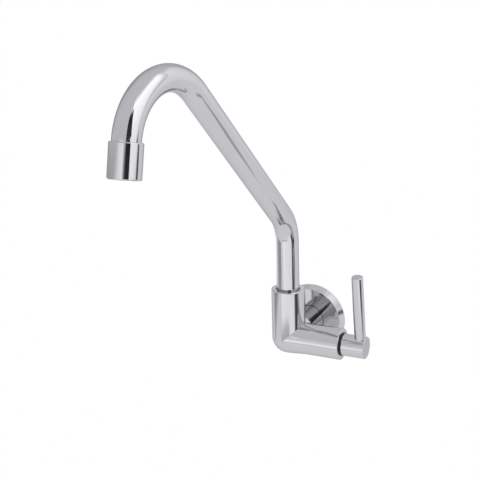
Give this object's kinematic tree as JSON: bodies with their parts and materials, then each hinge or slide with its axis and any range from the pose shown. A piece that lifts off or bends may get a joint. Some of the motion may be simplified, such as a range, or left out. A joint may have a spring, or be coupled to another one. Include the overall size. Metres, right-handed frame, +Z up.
{
  "type": "wall faucet",
  "caption": "Chromed wall faucet with a swivelling gooseneck spout over a short riser, a side lever valve on a horizontal arm, and a round wall flange.",
  "frame": {"origin": "on the inlet axis, in the plane of the wall", "axes": "+Y along the inlet, into the wall; +X towards the lever; +Z up"},
  "size_m": [0.1166, 0.3117, 0.3112],
  "materials": {
    "chrome": "polished chrome plate on brass",
    "brass": "machined",
    "steel": "stainless, machined",
    "rubber": "moulded seal rubber",
    "black_plastic": "moulded acetal, satin",
    "white_plastic": "moulded acetal",
    "ceramic": "lapped alumina"
  },
  "bodies": {
    "tap_body": {"body": "chrome", "inlet_nipple": "brass", "inlet_washer": "rubber", "wall_flange": "chrome", "flange_washer": "rubber", "spout_retaining_screw": "steel", "spout_wiper_ring": "rubber", "headwork_body": "brass", "headwork_o_ring": "rubber", "disc_seal": "rubber", "ceramic_disc_fixed": "ceramic", "handle_glide_ring": "black_plastic"},
    "spout": {"spout_tube": "chrome", "spout_end_bush": "brass", "spout_o_rings": "rubber", "outlet_adapter": "brass", "aerator_housing": "chrome", "aerator_washer": "rubber", "aerator_strainer": "steel", "aerator_insert": "white_plastic", "aerator_flow_disc": "white_plastic", "aerator_outlet_mesh": "white_plastic"},
    "handle": {"handle_hub": "chrome", "lever_pin": "chrome", "handle_set_screw": "steel", "spline_insert": "brass", "spindle": "brass", "spindle_clip": "steel", "spindle_o_rings": "rubber", "ceramic_disc_moving": "ceramic"}
  },
  "joints": [
    {"name": "spout_swivel", "type": "hinge", "parent": "tap_body", "child": "spout", "pos_m": [-0.0015, -0.0582, 0.034], "axis": [0, 0, 1], "range_deg": [-88.8, 101.2]},
    {"name": "handle_turn", "type": "hinge", "parent": "tap_body", "child": "handle", "pos_m": [-0.0015, -0.0582, 0], "axis": [1, 0, 0], "range_deg": [0, 90]}
  ]
}
